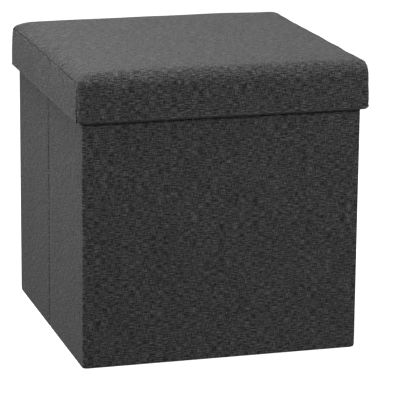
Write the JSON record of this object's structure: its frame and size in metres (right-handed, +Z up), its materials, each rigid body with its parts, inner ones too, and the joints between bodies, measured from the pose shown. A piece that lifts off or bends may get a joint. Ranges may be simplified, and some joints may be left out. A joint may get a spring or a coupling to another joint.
{
  "type": "folding storage ottoman",
  "caption": "Folding fabric storage cube with a padded lift-off lid for a seat; its side walls crease inwards and its base tips up.",
  "frame": {"origin": "on the floor under the middle of the lid, which is the middle of the footprint", "axes": "+Z up, front wall towards -Y, creased side walls towards -X and +X"},
  "size_m": [0.38, 0.38, 0.38],
  "materials": {
    "outer_fabric": "matte",
    "lining": "matte",
    "fibreboard": "matte",
    "greyboard": "matte",
    "foam": "matte",
    "webbing": "matte"
  },
  "bodies": {
    "front_wall": {"front_board": "fibreboard", "front_cover": "outer_fabric", "front_lining": "lining", "front_hem": "outer_fabric", "front_left_spine": "outer_fabric", "front_right_spine": "outer_fabric", "front_left_crease": "outer_fabric", "front_right_crease": "outer_fabric", "front_left_corner_lining": "lining", "front_right_corner_lining": "lining", "base_hinge_strip": "lining"},
    "left_front_wall": {"left_front_board": "fibreboard", "left_front_cover": "outer_fabric", "left_front_lining": "lining", "left_front_hem": "outer_fabric", "left_mid_crease": "outer_fabric"},
    "left_rear_wall": {"left_rear_board": "fibreboard", "left_rear_cover": "outer_fabric", "left_rear_lining": "lining", "left_rear_hem": "outer_fabric"},
    "back_wall": {"back_board": "fibreboard", "back_cover": "outer_fabric", "back_lining": "lining", "back_hem": "outer_fabric", "back_left_spine": "outer_fabric", "back_right_spine": "outer_fabric", "back_left_crease": "outer_fabric", "back_right_crease": "outer_fabric", "back_left_corner_lining": "lining", "back_right_corner_lining": "lining"},
    "right_front_wall": {"right_front_board": "fibreboard", "right_front_cover": "outer_fabric", "right_front_lining": "lining", "right_front_hem": "outer_fabric", "right_mid_crease": "outer_fabric"},
    "right_rear_wall": {"right_rear_board": "fibreboard", "right_rear_cover": "outer_fabric", "right_rear_lining": "lining", "right_rear_hem": "outer_fabric"},
    "base": {"base_board": "greyboard", "base_bottom_lining": "lining", "base_top_lining": "lining", "base_pull_tab": "webbing"},
    "lid": {"lid_board": "fibreboard", "lid_foam": "foam", "lid_rim_front": "greyboard", "lid_rim_back": "greyboard", "lid_rim_left": "greyboard", "lid_rim_right": "greyboard", "lid_lining": "lining", "lid_cover_top": "outer_fabric", "lid_cover_left": "outer_fabric", "lid_cover_right": "outer_fabric"}
  },
  "joints": [
    {"name": "left_fold", "type": "hinge", "parent": "front_wall", "child": "left_front_wall", "pos_m": [-0.1824, -0.16, 0], "axis": [0, 0, -1], "range_deg": [0, 90], "deforming": ["front_left_crease", "front_right_crease", "left_mid_crease", "right_mid_crease", "back_left_crease", "back_right_crease", "front_left_corner_lining", "front_right_corner_lining", "back_left_corner_lining", "back_right_corner_lining", "back_hem", "left_front_hem", "left_rear_hem", "right_front_hem", "right_rear_hem", "base_pull_tab"]},
    {"name": "left_mid_fold", "type": "hinge", "parent": "left_front_wall", "child": "left_rear_wall", "pos_m": [-0.1824, 0.0035, 0], "axis": [0, 0, 1], "range_deg": [0, 180]},
    {"name": "back_fold", "type": "hinge", "parent": "left_rear_wall", "child": "back_wall", "pos_m": [-0.1824, 0.167, 0], "axis": [0, 0, -1], "range_deg": [0, 90]},
    {"name": "right_fold", "type": "hinge", "parent": "front_wall", "child": "right_front_wall", "pos_m": [0.1824, -0.16, 0], "axis": [0, 0, 1], "range_deg": [0, 90]},
    {"name": "right_mid_fold", "type": "hinge", "parent": "right_front_wall", "child": "right_rear_wall", "pos_m": [0.1824, 0.0035, 0], "axis": [0, 0, -1], "range_deg": [0, 180]},
    {"name": "base_flip", "type": "hinge", "parent": "front_wall", "child": "base", "pos_m": [0, -0.173, 0.005], "axis": [1, 0, 0], "range_deg": [0, 90], "deforming": ["base_hinge_strip"]},
    {"name": "lid_lift", "type": "slide", "parent": "front_wall", "child": "lid", "axis": [0, 0, 1], "range_m": [0, 0.3]}
  ],
  "couplings": [
    {"joint": "left_mid_fold", "follows": "left_fold", "ratio": 2},
    {"joint": "back_fold", "follows": "left_fold", "ratio": 1},
    {"joint": "right_fold", "follows": "left_fold", "ratio": 1},
    {"joint": "right_mid_fold", "follows": "left_fold", "ratio": 2}
  ]
}
